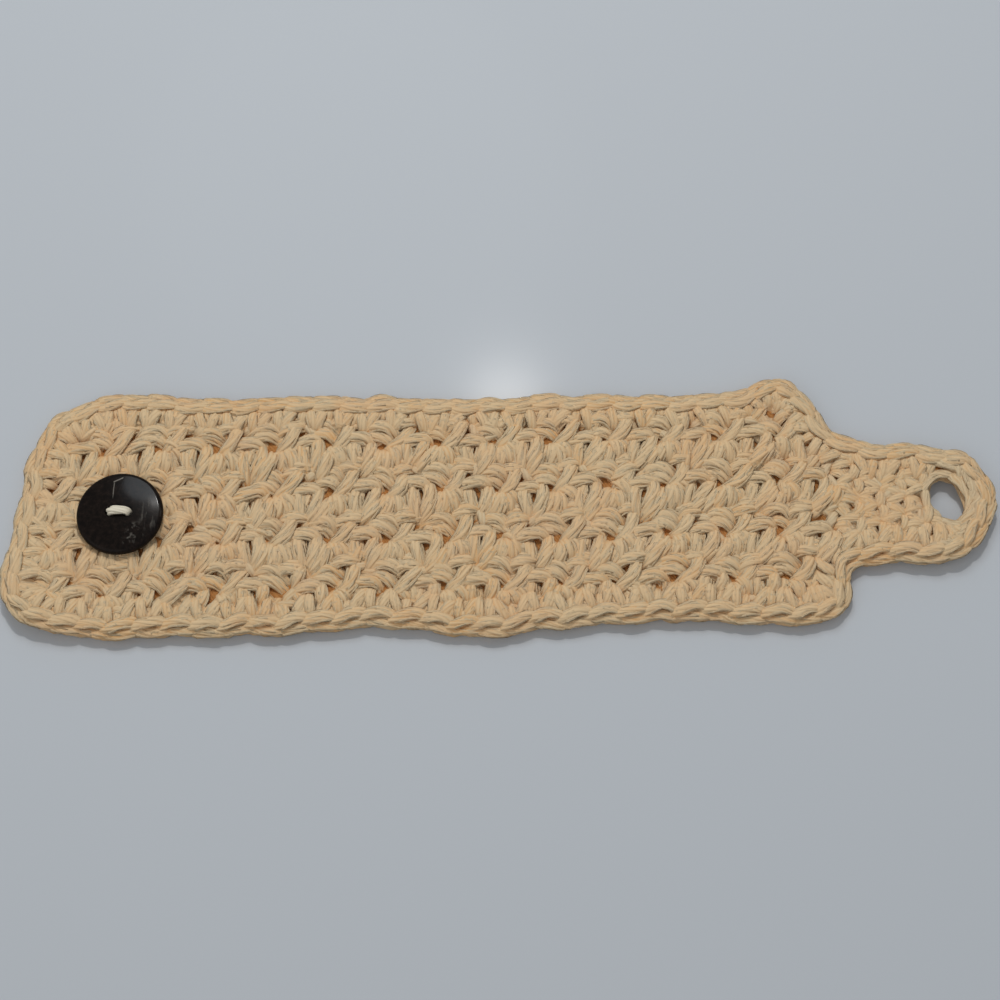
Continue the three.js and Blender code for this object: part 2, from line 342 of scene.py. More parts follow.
def yarn_tree():
    """Wraps each polyline in a plied yarn, whose section turns as it goes along."""
    tree = bpy.data.node_groups.new("plied_yarn", "GeometryNodeTree")
    graph = Graph(tree)
    side = tree.interface.new_socket
    side("Strands", in_out="INPUT", socket_type="NodeSocketGeometry")
    sizes = {"Ring Step": 0.9 * MM, "Pitch": TWIST_PITCH * MM, "Groove": 0.3}
    for name, value in sizes.items():
        side(name, in_out="INPUT", socket_type="NodeSocketFloat").default_value = value
    side("Sides", in_out="INPUT", socket_type="NodeSocketInt").default_value = 16
    side("Spread", in_out="INPUT", socket_type="NodeSocketVector").default_value = (0.28, 0.28, -0.3)
    side("Yarn", in_out="INPUT", socket_type="NodeSocketMaterial")
    side("Geometry", in_out="OUTPUT", socket_type="NodeSocketGeometry")
    given = graph.node("NodeGroupInput").outputs

    def named(name, kind="FLOAT"):
        made = graph.node("GeometryNodeInputNamedAttribute", {"data_type": kind}, {"Name": name})
        return Number(graph, made.outputs["Attribute"])

    line = graph.node("GeometryNodeMeshToCurve", sockets={"Mesh": given["Strands"]})
    soft = graph.node(
        "GeometryNodeCurveSplineType", {"spline_type": "CATMULL_ROM"}, {"Curve": line.outputs[0]}
    )
    fine = graph.node(
        "GeometryNodeResampleCurve",
        {"mode": "LENGTH"},
        {"Curve": soft.outputs[0], "Length": given["Ring Step"]},
    )
    along = Number(graph, graph.node("GeometryNodeSplineParameter").outputs["Length"])
    turn = along / given["Pitch"] * math.tau + named("start_turn")
    turned = graph.node("GeometryNodeSetCurveTilt", sockets={"Curve": fine.outputs[0], "Tilt": turn})
    kept = graph.node(
        "GeometryNodeStoreNamedAttribute",
        {"data_type": "FLOAT", "domain": "POINT"},
        {"Geometry": turned.outputs[0], "Name": "along", "Value": along},
    )
    place = graph.node("GeometryNodeInputPosition").outputs[0]
    kept = graph.node(
        "GeometryNodeStoreNamedAttribute",
        {"data_type": "FLOAT_VECTOR", "domain": "POINT"},
        {"Geometry": kept.outputs[0], "Name": "middle", "Value": place},
    )
    circle = graph.node(
        "GeometryNodeCurvePrimitiveCircle", sockets={"Resolution": given["Sides"], "Radius": 1.0}
    )
    share = Number(graph, graph.node("GeometryNodeSplineParameter").outputs["Factor"])
    angle = share * math.tau
    crest = (angle * (PLIES / 2)).math("COSINE").math("ABSOLUTE")
    waist = 1 - (1 - crest) * given["Groove"]
    lobed = graph.node("ShaderNodeVectorMath", {"operation": "SCALE"}, {0: place, "Scale": waist})
    profile = graph.node(
        "GeometryNodeSetPosition", sockets={"Geometry": circle.outputs[0], "Position": lobed.outputs[0]}
    )
    profile = profile.outputs[0]
    marks = {"crest": crest, "round_x": angle.math("COSINE"), "round_y": angle.math("SINE")}
    for name, value in marks.items():
        stored = graph.node(
            "GeometryNodeStoreNamedAttribute",
            {"data_type": "FLOAT", "domain": "POINT"},
            {"Geometry": profile, "Name": name, "Value": value},
        )
        profile = stored.outputs[0]
    tube = graph.node(
        "GeometryNodeCurveToMesh",
        sockets={
            "Curve": kept.outputs[0],
            "Profile Curve": profile,
            "Scale": named("thickness"),
            "Fill Caps": True,
        },
    )
    middle = named("middle", "FLOAT_VECTOR").socket
    away = graph.node("ShaderNodeVectorMath", {"operation": "SUBTRACT"}, {0: place, 1: middle}).outputs[0]
    flatter = graph.node("ShaderNodeVectorMath", {"operation": "MULTIPLY"}, {0: away, 1: given["Spread"]})
    settled = graph.node(
        "GeometryNodeSetPosition", sockets={"Geometry": tube.outputs[0], "Offset": flatter.outputs[0]}
    )
    shaded = graph.node("GeometryNodeSetShadeSmooth", sockets={"Geometry": settled.outputs[0]})
    real = graph.node("GeometryNodeRealizeInstances", sockets={"Geometry": shaded.outputs[0]})
    dressed = graph.node(
        "GeometryNodeSetMaterial", sockets={"Geometry": real.outputs[0], "Material": given["Yarn"]}
    )
    graph.node("NodeGroupOutput", sockets={"Geometry": dressed.outputs[0]})
    return tree


YARN_TREE = yarn_tree()


def yarn_material(name, light, dark_tone_and_shade, blush):
    """Undyed cotton: matt, with a painted highlight on the ply crests and painted warm shade on strands low
    in the cloth.
    """
    material, graph, shader = new_material(name)
    round_x, round_y = attribute(graph, "round_x"), attribute(graph, "round_y")
    tint = attribute(graph, "tint")
    sockets = {0: attribute(graph, "along") * 230 + tint * 40, 1: round_x * 2.2, 2: round_y * 2.2}
    fibre_place = graph.node("ShaderNodeCombineXYZ", sockets=sockets).outputs[0]
    fibres = texture(graph, "ShaderNodeTexNoise", fibre_place, 1.0, Detail=4.0, Roughness=0.65)
    angle = round_y.math("ARCTAN2", round_x)
    threads = (angle * 3.5 + (fibres - 0.5) * 3 + tint * 9).math("SINE").math("ABSOLUTE")
    singles = threads.math("POWER", 0.6)
    place = graph.node("ShaderNodeTexCoord").outputs["Object"]
    cloud = texture(graph, "ShaderNodeTexNoise", place, 70.0, Detail=3.0)
    # Painted light: the crest term is a painted highlight on each ply and the height term painted shade on
    # low strands; fibres, singles, cloud and tint are the yarn's own tone.
    paleness_and_painted_light = attribute(graph, "crest").step(0.0, 0.7) * 0.15 + attribute(graph, "height").step(1.8, 4.0) * 0.4
    paleness_and_painted_light = paleness_and_painted_light + fibres.step(0.35, 0.65) * 0.3 + singles * 0.3
    paleness_and_painted_light = paleness_and_painted_light + (cloud.step(0.3, 0.7) - 0.5) * 0.25 + (tint - 0.5) * 0.4
    colour = blend(graph, paleness_and_painted_light.step(0.05, 1.05), dark_tone_and_shade, light)
    patches = texture(graph, "ShaderNodeTexNoise", place, 110.0, Detail=2.0).step(0.42, 0.68)
    colour = blend(graph, patches * 0.4, colour, blush)
    graph.feed(shader.inputs["Base Color"], colour)
    shader.inputs["Roughness"].default_value = 0.9
    shader.inputs["Specular IOR Level"].default_value = 0.06
    shader.inputs["Sheen Weight"].default_value = 0.15
    shader.inputs["Sheen Tint"].default_value = (1, 0.82, 0.6, 1)
    shader.inputs["Sheen Roughness"].default_value = 0.6
    relief = singles * 0.7 + fibres * 0.7
    bump = graph.node("ShaderNodeBump", sockets={"Distance": 0.2 * MM, "Height": relief, "Strength": 1.0})
    graph.feed(shader.inputs["Normal"], bump.outputs[0])
    return material


# The strands' cores take a warmer, more orange colour than the plies on top of them: painted warm shade for
# the furrows between the plies, where it shows.
COTTON = yarn_material(
    "cream_cotton", (0.82, 0.63, 0.395, 1), (0.86, 0.53, 0.25, 1), (0.88, 0.57, 0.33, 1)
)
FURROW_SHADE_CORE_COTTON = yarn_material(
    "cotton_core_painted_furrow_shade", (0.87, 0.63, 0.37, 1), (0.9, 0.5, 0.2, 1), (0.9, 0.55, 0.28, 1)
)


PLY_RADIUS = 0.52
PLY_SINK = 0.4
FLATNESS = 0.73


def loose_plies(strands, seed, places=(-0.92, -0.31, 0.31, 0.92)):
    """Thin plies that have worked loose from the strands and lie along the top of them."""
    rng = random.Random(seed)
    found = []
    for strand in strands:
        for place in places:
            start, drift = place + rng.gauss(0, 0.1), rng.uniform(-0.5, 0.5)
            ply = []
            for number, (x, y, z, radius) in enumerate(strand):
                before, after = strand[max(0, number - 1)], strand[min(len(strand) - 1, number + 1)]
                ahead = Vector((after[0] - before[0], after[1] - before[1])).normalized()
                across = start + drift * (number / (len(strand) - 1) - 0.5) + rng.gauss(0, 0.08)
                across = max(-1.05, min(1.05, across))
                side = across * radius * 1.2
                rise = radius * FLATNESS * math.sqrt(max(0.0, 1 - 0.8 * across * across)) - PLY_SINK
                thin = PLY_RADIUS * rng.uniform(0.85, 1.1)
                ply.append((x - ahead.y * side, y + ahead.x * side, z + rise, thin))
            found.append(ply)
    return found


def yarn_piece(name, strands, sides=16, ring_step=0.9, material=COTTON):
    """One piece from many strands; a strand is a list of points: x, y, z above the table, radius."""
    rng = random.Random(name)
    vertices, edges, thickness, height, turns, tints = [], [], [], [], [], []
    for strand in strands:
        turn, tint = rng.uniform(0, math.tau), rng.random()
        first = len(vertices)
        for number, (x, y, z, radius) in enumerate(strand):
            taper = 0.72 if number in (0, len(strand) - 1) else 1
            vertices.append(Vector((x, y, z + lift(x, y))) * MM)
            thickness.append(radius * taper * MM)
            height.append(z)
            turns.append(turn)
            tints.append(tint)
        edges += [(i, i + 1) for i in range(first, len(vertices) - 1)]
    mesh = bpy.data.meshes.new(name)
    mesh.from_pydata(vertices, edges, [])
    columns = {"thickness": thickness, "height": height, "start_turn": turns, "tint": tints}
    for column, values in columns.items():
        mesh.attributes.new(column, "FLOAT", "POINT").data.foreach_set("value", values)
    piece = bpy.data.objects.new(name, mesh)
    bpy.context.scene.collection.objects.link(piece)
    wrap = piece.modifiers.new("yarn", "NODES")
    wrap.node_group = YARN_TREE
    values = {"Ring Step": ring_step * MM, "Sides": sides, "Yarn": material}
    for item in YARN_TREE.interface.items_tree:
        if item.in_out == "INPUT" and item.name in values:
            wrap[item.identifier] = values[item.name]
    plain_mesh(piece)
    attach(piece, "root")
    return piece


# One repeat's strands, each a row of points from the eye that its fan spreads from: x, y, z.
REPEAT = (16.4, 0.4)
ROW = (-0.8, 14.8)
EYE = (-34.7, 4.3)
OPENINGS = ((-5.3, -2.2), (-9.2, 2.9), (0.2, 0.4), (3.6, -10.2))
CLUSTER = {
    "side bundle": [(8.4, 2.2, 2.2), (9.2, -1.2, 3.3), (8.8, -4.6, 3.3), (7.4, -8.0, 2.0)],
    "rim": [(-13.0, -1.4, 2.2), (-10.0, 0.4, 3.9), (-6.6, 1.4, 4.2), (-3.6, 1.6, 3.9), (-1.4, 0.2, 2.2)],
    "tall loop": [
        (-5.6, -9.8, 1.8), (-6.9, -6.2, 3.7), (-7.9, -2.4, 4.0), (-8.2, 0.2, 2.8), (-6.2, 1.9, 2.2),
        (-3.4, 1.4, 2.6), (-2.6, -1.8, 4.0), (-3.5, -5.6, 4.2), (-5.0, -9.6, 2.2),
    ],
    "inner leg": [(-0.9, -0.9, 2.0), (-1.5, -4.4, 4.3), (-2.9, -8.0, 3.9), (-4.6, -10.8, 2.0)],
    "fan 1": [(0.0, -0.6, 2.2), (0.1, -3.2, 4.1), (-0.5, -6.4, 3.9), (-1.7, -9.6, 2.2)],
    "fan 2": [(0.7, -0.7, 2.4), (1.9, -3.2, 4.2), (2.1, -5.8, 3.8), (1.4, -8.6, 2.0)],
    "fan 3": [(1.0, -0.4, 2.6), (3.3, -2.4, 4.3), (4.7, -4.9, 3.9), (5.4, -7.6, 2.0)],
    "fan 4": [(1.4, -0.1, 2.8), (4.4, -1.0, 4.0), (6.6, -2.9, 3.4), (7.6, -5.6, 1.8)],
    "fan 5": [(1.8, 0.6, 2.8), (4.8, 0.8, 3.7), (7.2, -0.4, 3.2), (8.8, -2.6, 1.8)],
    "leaning post": [
        (7.4, 7.8, 2.2), (6.8, 4.6, 4.1), (5.4, 1.6, 4.6), (3.2, -0.8, 3.6), (1.6, -2.6, 2.2),
    ],
    "upper brow": [(-6.2, 3.8, 2.0), (-2.9, 6.0, 3.7), (0.9, 5.9, 3.9), (4.2, 3.2, 2.4)],
    "lower brow": [(-5.8, 2.2, 2.0), (-2.9, 3.4, 3.5), (0.3, 3.1, 3.5), (3.2, 1.2, 2.2)],
    "shoulder": [(-15.0, 4.0, 2.2), (-12.4, 6.0, 3.9), (-9.4, 6.8, 4.0), (-5.6, 7.8, 2.4)],
    "shoulder's pair": [(-14.2, 6.6, 2.0), (-11.4, 8.3, 3.4), (-8.2, 8.8, 3.5), (-4.8, 9.2, 2.2)],
}
BODY_INSET = 6.0
DIVE = 2.2
LEAN = 3.0
OPENING_CLEAR = 2.0


def wander(x, y, reach, size, seed):
    """How far hand work strays at a place, in millimetres: the same on every run."""
    place = Vector((x / reach, y / reach, seed))
    return Vector((noise.noise(place), noise.noise(place + Vector((0, 0, 40))))) * size


def longest_run(strand, allowed, fewest=3):
    """The longest part of a strand whose points are all allowed, with its ends turned down."""
    best, run = [], []
    for point in strand:
        run = run + [point] if allowed(point) else []
        best = max(best, run, key=len)
    if len(best) < fewest:
        return None
    first, last = best[0], best[-1]
    start = (first[0], first[1], min(first[2], DIVE), first[3])
    end = (last[0], last[1], min(last[2], DIVE), last[3])
    return [start] + best[1:-1] + [end]


# Two places where the hook left a long gap: x, y, half width, half height.
GAPS = ((-63.4, -27.2, 2.3, 0.3), (79.3, 28.4, 2.0, 0.4))


def off_gaps(place, margin=1.0):
    """Whether a place keeps clear of the two gaps."""
    return all(
        math.hypot((place[0] - x) / (across + margin), (place[1] - y) / (up + margin)) > 1
        for x, y, across, up in GAPS
    )


def trimmed(strand, inset):
    """A strand without what reaches into the edging or over a gap."""
    return longest_run(strand, lambda place: inside_by(place[0], place[1]) > inset and off_gaps(place))


def from_opening(x, y):
    """The way from the nearest of the small openings that the even repeat leaves to a place."""
    x, y = x - EYE[0], y - EYE[1]
    row = round((REPEAT[0] * y - REPEAT[1] * x) / (REPEAT[0] * ROW[1] - REPEAT[1] * ROW[0]))
    ways = []
    for j in (row - 1, row, row + 1):
        column = round((x - ROW[0] * j) / REPEAT[0])
        for i in (column - 1, column, column + 1):
            for hole_x, hole_y in OPENINGS:
                way_x = x - hole_x - REPEAT[0] * i - ROW[0] * j
                way_y = y - hole_y - REPEAT[1] * i - ROW[1] * j
                ways.append(Vector((way_x, way_y)))
    return min(ways, key=lambda way: way.length)


def settled(x, y):
    """Where a place in the even repeat comes to lie in the stretched cloth."""
    place = Vector((x, y))
    return place + wander(x, y, 22, 1.6, 1) + wander(x, y, 7, 0.6, 5)


def cluster_strands(left, right):
    """The strands of every repeat whose middle lies between two x values."""
    rng = random.Random(7)
    found = []
    for row in range(-3, 4):
        for column in range(-8, 10):
            eye_x = EYE[0] + REPEAT[0] * column + ROW[0] * row
            eye_y = EYE[1] + REPEAT[1] * column + ROW[1] * row
            lean = LEAN * smooth(-20, 50, eye_x)
            turn = rng.gauss(0, 0.07)
            size = rng.gauss(1.0, 0.04)
            for points in CLUSTER.values():
                shift = Vector((rng.gauss(0, 0.4), rng.gauss(0, 0.4)))
                swell = rng.uniform(0.96, 1.12)
                rise = 0.25 + rng.gauss(0, 0.25)
                strand = []
                for x, y, z in points:
                    x -= lean * max(0, -y) / 10
                    x, y = size * (x - turn * y), size * (y + turn * x)
                    place = Vector((eye_x + x, eye_y + y)) + shift
                    way = from_opening(place.x, place.y)
                    if way.length < OPENING_CLEAR:
                        place += way.normalized() * 0.75 * (OPENING_CLEAR - way.length)
                    place = settled(place.x, place.y)
                    strand.append((place.x, place.y, z + rise, YARN_RADIUS * swell))
                middle = strand[len(strand) // 2]
                strand = trimmed(strand, BODY_INSET)
                if strand and left <= middle[0] < right:
                    found.append(strand)
    return found


for part, left, right in (("button_end", -150, -58), ("middle", -58, 20), ("tab_end", 20, SEAM_X + 1)):
    strands = cluster_strands(left, right)
    plies = loose_plies(strands, part)
    yarn_piece(f"body_stitches_{part}", strands, ring_step=1.08, material=FURROW_SHADE_CORE_COTTON)
    yarn_piece(f"body_plies_{part}", plies, sides=4, ring_step=1.6)

# ---------------------------------------------------------------------------------------------------
# The lower loops, which show between the main strands, and the loops of the underside. They are
# the same yarn, pulled through row by row, and they lie on the table below.
# ---------------------------------------------------------------------------------------------------


def bowed(x, y, angle, length, low, high, radius, bend=0.0):
    """A short strand whose middle stands up and whose ends dive in."""
    strand = []
    for share in (-0.5, -0.38, -0.25, -0.12, 0.0, 0.12, 0.25, 0.38, 0.5):
        along = share * length
        side = bend * (1 - 4 * share * share)
        rise = 1 - (2 * share) ** 2
        strand.append(
            (
                x + along * math.cos(angle) - side * math.sin(angle),
                y + along * math.sin(angle) + side * math.cos(angle),
                low + (high - low) * rise,
                radius,
            )
        )
    return strand


LOWER_PITCH = (4.4, 3.9)
LOWER_SHIFT = 2.2
LOWER_INSET = 8.5
LOWER_CLEAR = 1.9
UNDER_PITCH = (4.1, 3.7)
UNDER_SHIFT = 2.0
HOLE_MARGIN = 1.8

# The buttonhole, which all the yarn round it keeps clear of.
HOLE = {"x": 129.2, "y": 1.9, "half_width": 4.9, "half_length": 6.4}


def clear_of_hole(strand, margin):
    """A strand without what reaches into the buttonhole."""

    def outside(place):
        across = (place[0] - HOLE["x"]) / (HOLE["half_width"] + margin)
        along = (place[1] - HOLE["y"]) / (HOLE["half_length"] + margin)
        return math.hypot(across, along) > 1

    return longest_run(strand, outside)


def within(strand, inset):
    """Whether the whole of a strand lies that far inside the outline."""
    return bool(strand) and min(inside_by(point[0], point[1]) for point in strand) > inset


def lower_loops():
    """Loops on a close grid, each pulled one of three ways."""
    rng = random.Random(11)
    found = []
    for row in range(-9, 10):
        for column in range(-34, 34):
            x = LOWER_PITCH[0] * column + LOWER_SHIFT * (row % 2) + rng.gauss(0, 0.5)
            y = LOWER_PITCH[1] * row + rng.gauss(0, 0.4)
            angle = math.radians(rng.choice((52, -48, 12)) + rng.gauss(0, 12))
            high = rng.uniform(3.3, 3.8)
            strand = bowed(x, y, angle, rng.uniform(8, 10.5), 1.7, high, 1.3, rng.gauss(0, 0.6))
            strand = clear_of_hole(strand, HOLE_MARGIN)
            if strand and x < SEAM_X and inside_by(x, y) > LOWER_INSET:
                strand = longest_run(strand, lambda at: from_opening(at[0], at[1]).length > LOWER_CLEAR)
                if strand:
                    strand = [(*settled(place[0], place[1]), place[2], place[3]) for place in strand]
            strand = strand and longest_run(strand, lambda place: off_gaps(place, 0.4))
            if within(strand, 3.2):
                found.append(strand)
    return found


def underside_loops():
    """Loops that lean by turns to either side and lie on the table."""
    rng = random.Random(13)
    found = []
    for row in range(-10, 11):
        for column in range(-36, 37):
            x = UNDER_PITCH[0] * column + UNDER_SHIFT * (row % 2) + rng.gauss(0, 0.3)
            y = UNDER_PITCH[1] * row + rng.gauss(0, 0.3)
            angle = math.radians((38 if (row + column) % 2 else -38) + rng.gauss(0, 9))
            strand = bowed(x, y, angle, rng.uniform(7, 9), 1.9, 0.92, 1.15, rng.gauss(0, 0.4))
            strand = clear_of_hole(strand, HOLE_MARGIN)
            if within(strand, 3):
                found.append(strand)
    return found


yarn_piece("lower_loops", lower_loops(), sides=9, ring_step=1.9)
yarn_piece("underside_loops", underside_loops(), sides=8, ring_step=1.9)

# ---------------------------------------------------------------------------------------------------
# The button tab: rows of close single crochet that run across it. They are worked on the body's end
# in the same cotton, and their own ground lies behind them as far as the buttonhole.
# ---------------------------------------------------------------------------------------------------

TAB_START = 99.5
TAB_END = 137.5
TAB_ROW = 6.8
TAB_STITCH = 5.6
STITCH_INSET = 4.6
STITCH_MARGIN = 1.2
TAB_ARMS = (
    [(3.9, 3.2, 2.0), (2.1, 2.6, 3.8), (-0.6, 1.5, 4.3), (-3.2, 0.2, 2.4)],
    [(3.9, -3.0, 2.0), (2.1, -2.4, 3.7), (-0.6, -1.3, 4.0), (-3.2, 0.0, 2.2)],
    [(2.4, -2.8, 2.2), (3.7, -1.4, 3.9), (3.9, 0.8, 4.1), (3.0, 2.9, 2.2)],
    [(1.8, -1.6, 2.2), (0.2, -0.4, 3.9), (-1.6, -0.2, 3.6), (-3.4, -1.8, 2.0)],
)


def tab_strands():
    """Every stitch of the tab as four short arms, none of them quite alike."""
    rng = random.Random(17)
    found = []
    for row in range(6):
        for column in range(-4, 5):
            x = TAB_START + TAB_ROW * row + rng.gauss(0, 0.5)
            y = TAB_STITCH * (column + 0.5 * (row % 2)) + rng.gauss(0, 0.5)
            turn = rng.gauss(0, 0.22)
            for arm in TAB_ARMS:
                strand = []
                for dx, dy, dz in arm:
                    dx, dy = dx - turn * dy + rng.gauss(0, 0.25), dy + turn * dx + rng.gauss(0, 0.25)
                    strand.append((x + dx, y + dy, dz + rng.gauss(0, 0.15), rng.uniform(1.0, 1.25)))
                strand = trimmed(strand, STITCH_INSET)
                strand = strand and clear_of_hole(strand, STITCH_MARGIN)
                if strand:
                    found.append(strand)
    return found


tab_rows = tab_strands()
tab_yarn = [
    yarn_piece("tab_plies", loose_plies(tab_rows, 3, (-0.7, 0.0, 0.7)), sides=4, ring_step=1.4),
    yarn_piece("tab_stitches", tab_rows, sides=12, material=FURROW_SHADE_CORE_COTTON),
]
CUT_MARGIN = 1.6
TAB_CUT = (HOLE["x"], HOLE["y"], HOLE["half_width"] + CUT_MARGIN, HOLE["half_length"] + CUT_MARGIN)
tab_ground = ground_sheet("tab_ground", SEAM_X, TAB_END, TAB_CUT)
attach(tab_ground, "root")
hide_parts("button_tab")

# ---------------------------------------------------------------------------------------------------
# The edging: single crochet worked all round. Its posts stand on the body's last loops and end in a
# chain of V stitches along the outline, each V tucked into the one behind it.
# ---------------------------------------------------------------------------------------------------

CHAIN_PITCH = 8.1
CHAIN = [
    (10.8, 2.8, 2.2), (8.6, 3.7, 4.1), (5.2, 3.6, 4.9), (1.9, 2.7, 4.5), (-0.4, 2.0, 3.4),
    (1.6, 1.35, 3.0), (5.0, 1.15, 3.3), (8.4, 1.2, 3.2), (10.8, 1.8, 2.4),
]
CHAIN_RADIUS = 1.25
POSTS = [
    [(0.1, 11.6, 1.8), (-0.8, 8.8, 4.3), (-2.1, 5.8, 4.5), (-3.3, 3.0, 3.0)],
    [(0.6, 11.8, 1.8), (1.1, 8.8, 4.4), (1.9, 5.8, 4.6), (2.8, 3.0, 3.0)],
    [(-0.1, 10.4, 2.2), (-0.1, 8.0, 3.9), (-0.2, 5.4, 4.0), (-0.3, 3.0, 2.8)],
    [(4.2, 8.8, 2.2), (4.3, 6.8, 3.9), (4.1, 4.8, 4.1), (3.9, 3.0, 2.8)],
]
ROPES = ((1.3, 1.12), (3.6, 1.4), (5.8, 1.45), (2.4, 2.5))
ROPE_BOW = [(-1.2, 0.9, 0.7), (1.2, 0.2, 0.1), (4.6, 0, 0), (8.0, 0.2, 0.1), (10.4, 0.9, 0.7)]


def placed(distance, inset, z, radius):
    """A strand's point, by its way round the outline; the edge wavers a little with the stitches."""
    waver = 0.8 * noise.noise(Vector((distance / 7, 0, 2)))
    waver += 0.35 * math.cos(math.tau * distance / REPEAT[0])
    point, inward = on_edge(distance, inset + 0.2 + waver)
    return (point.x, point.y, z, radius)


def edging_strands():
    """The edging's chain, its posts and the strands that lie below them."""
    rng = random.Random(19)
    count = round(EDGE_LENGTH / CHAIN_PITCH)
    pitch = EDGE_LENGTH / count
    chain, posts, ropes = [], [], []
    for i in range(count):
        start = pitch * i + rng.gauss(0, 0.3)
        swell = CHAIN_RADIUS * rng.uniform(0.96, 1.1)
        chain.append([placed(start + ds, inset, z, swell) for ds, inset, z in CHAIN])
        skew = rng.gauss(0, 0.18)
        for post in POSTS:
            shift = rng.gauss(0, 0.3)
            strand = []
            for ds, inset, z in post:
                along = start + shift + ds + skew * (inset - 3)
                strand.append(placed(along, inset, z + rng.gauss(0, 0.12), rng.uniform(1.15, 1.35)))
            posts.append(strand)
    for inset, z in ROPES:
        for i in range(count):
            start = pitch * (i + 0.4) + rng.gauss(0, 0.4)
            ropes.append([placed(start + ds, inset + di, z + dz, YARN_RADIUS) for ds, di, dz in ROPE_BOW])
    posts = [strand for strand in (clear_of_hole(post, STITCH_MARGIN) for post in posts) if strand]
    posts = [strand for strand in (longest_run(post, off_gaps, 2) for post in posts) if strand]
    return chain, posts, ropes


chain_yarn, post_yarn, rope_yarn = edging_strands()
edging_chain = yarn_piece("edging_chain", chain_yarn, sides=14, material=FURROW_SHADE_CORE_COTTON)
edging_yarn = [
    edging_chain,
    yarn_piece("edging_chain_plies", loose_plies(chain_yarn, 5, (-0.75, 0.0, 0.75)), sides=4, ring_step=1.5),
    yarn_piece("edging_posts", post_yarn, sides=12, ring_step=1.1, material=FURROW_SHADE_CORE_COTTON),
    yarn_piece("edging_post_plies", loose_plies(post_yarn, 7, (-0.7, 0.0, 0.7)), sides=4, ring_step=1.7),
    yarn_piece("edging_under", rope_yarn, sides=9, ring_step=1.7),
]
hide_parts("edging")

# ---------------------------------------------------------------------------------------------------
# The round of the tab: yarn carried round the buttonhole in overlapping lengths, with long slanting
# posts from there to the edging's chain, which closes it off.
# ---------------------------------------------------------------------------------------------------


def round_hole(start, end, grow, z, rng):
    """A strand that follows the buttonhole's rim from one angle to another."""
    points = []
    steps = max(4, int(abs(end - start) / 18))
    for i in range(steps + 1):
        angle = math.radians(start + (end - start) * i / steps)
        ends = 1.0 if i in (0, steps) else 0.0
        reach = grow + rng.gauss(0, 0.25) + ends
        lean = 0.14 * HOLE["half_length"] * math.sin(angle)
        points.append(
            (
                HOLE["x"] - lean + (HOLE["half_width"] + reach) * math.cos(angle),
                HOLE["y"] + (HOLE["half_length"] + reach) * math.sin(angle),
                z + rng.gauss(0, 0.15) - ends * 0.8,
                rng.uniform(1.0, 1.2),
            )
        )
    return points


BEND_FROM = 125
RIM_SPANS = (
    (-70, 75, 1.4, 3.9), (60, 170, 1.5, 3.7), (150, 245, 1.4, 3.4), (225, 300, 1.6, 3.8),
    (-60, 110, 1.2, 1.9), (90, 230, 1.2, 1.7), (215, 330, 1.3, 1.8), (-50, 40, 3.4, 4.4), (-80, 10, 3.6, 3.9),
)

# The long posts: inset, and the way round the tab's end in thirtieths of it.
LONG_POSTS = (
    (0.8, 0.4), (2.6, 3.0), (0.9, 6.2), (2.7, 9.4), (0.8, 12.6),
    (2.8, 16.0), (0.9, 19.4), (2.5, 22.6), (1.0, 25.8),
)
SLANT = [(-4.0, 5.4, 2.2), (-1.5, 6.0, 4.0), (1.8, 5.4, 4.5), (5.2, 4.6, 4.2), (8.0, 3.6, 2.4)]


def loop_strands():
    """The lengths round the buttonhole and the long posts at the tab's end."""
    rng = random.Random(23)
    bend = [distance for distance in range(int(EDGE_LENGTH)) if on_edge(distance, 0)[0].x > BEND_FROM]
    found = [round_hole(*span, rng) for span in RIM_SPANS]
    for inset, start in LONG_POSTS:
        first = bend[0] + start * (bend[-1] - bend[0]) / 30
        found.append([placed(first + ds, di + (inset - 1.8) * 0.5, z, 1.15) for ds, di, z in SLANT])
    return found


loop_yarn = loop_strands()
tab_yarn += [
    yarn_piece("buttonhole_loop", loop_yarn, sides=14),
    yarn_piece("buttonhole_plies", loose_plies(loop_yarn, 9, (-0.6, 0.0, 0.6)), sides=5, ring_step=1.2),
]

# ---------------------------------------------------------------------------------------------------
# The button: a disc turned from coconut shell, with a rounded rim, two drilled holes and a polish.
# It sits on the body's stitches near the end without the tab.
# ---------------------------------------------------------------------------------------------------

BUTTON = {"x": -110.3, "y": -3.7, "radius": 12.5, "seat": 5.25, "thick": 3.6, "rim": 1.3, "crown": 0.9}
BUTTON_HOLES = {"radius": 1.5, "spacing": 5.0}


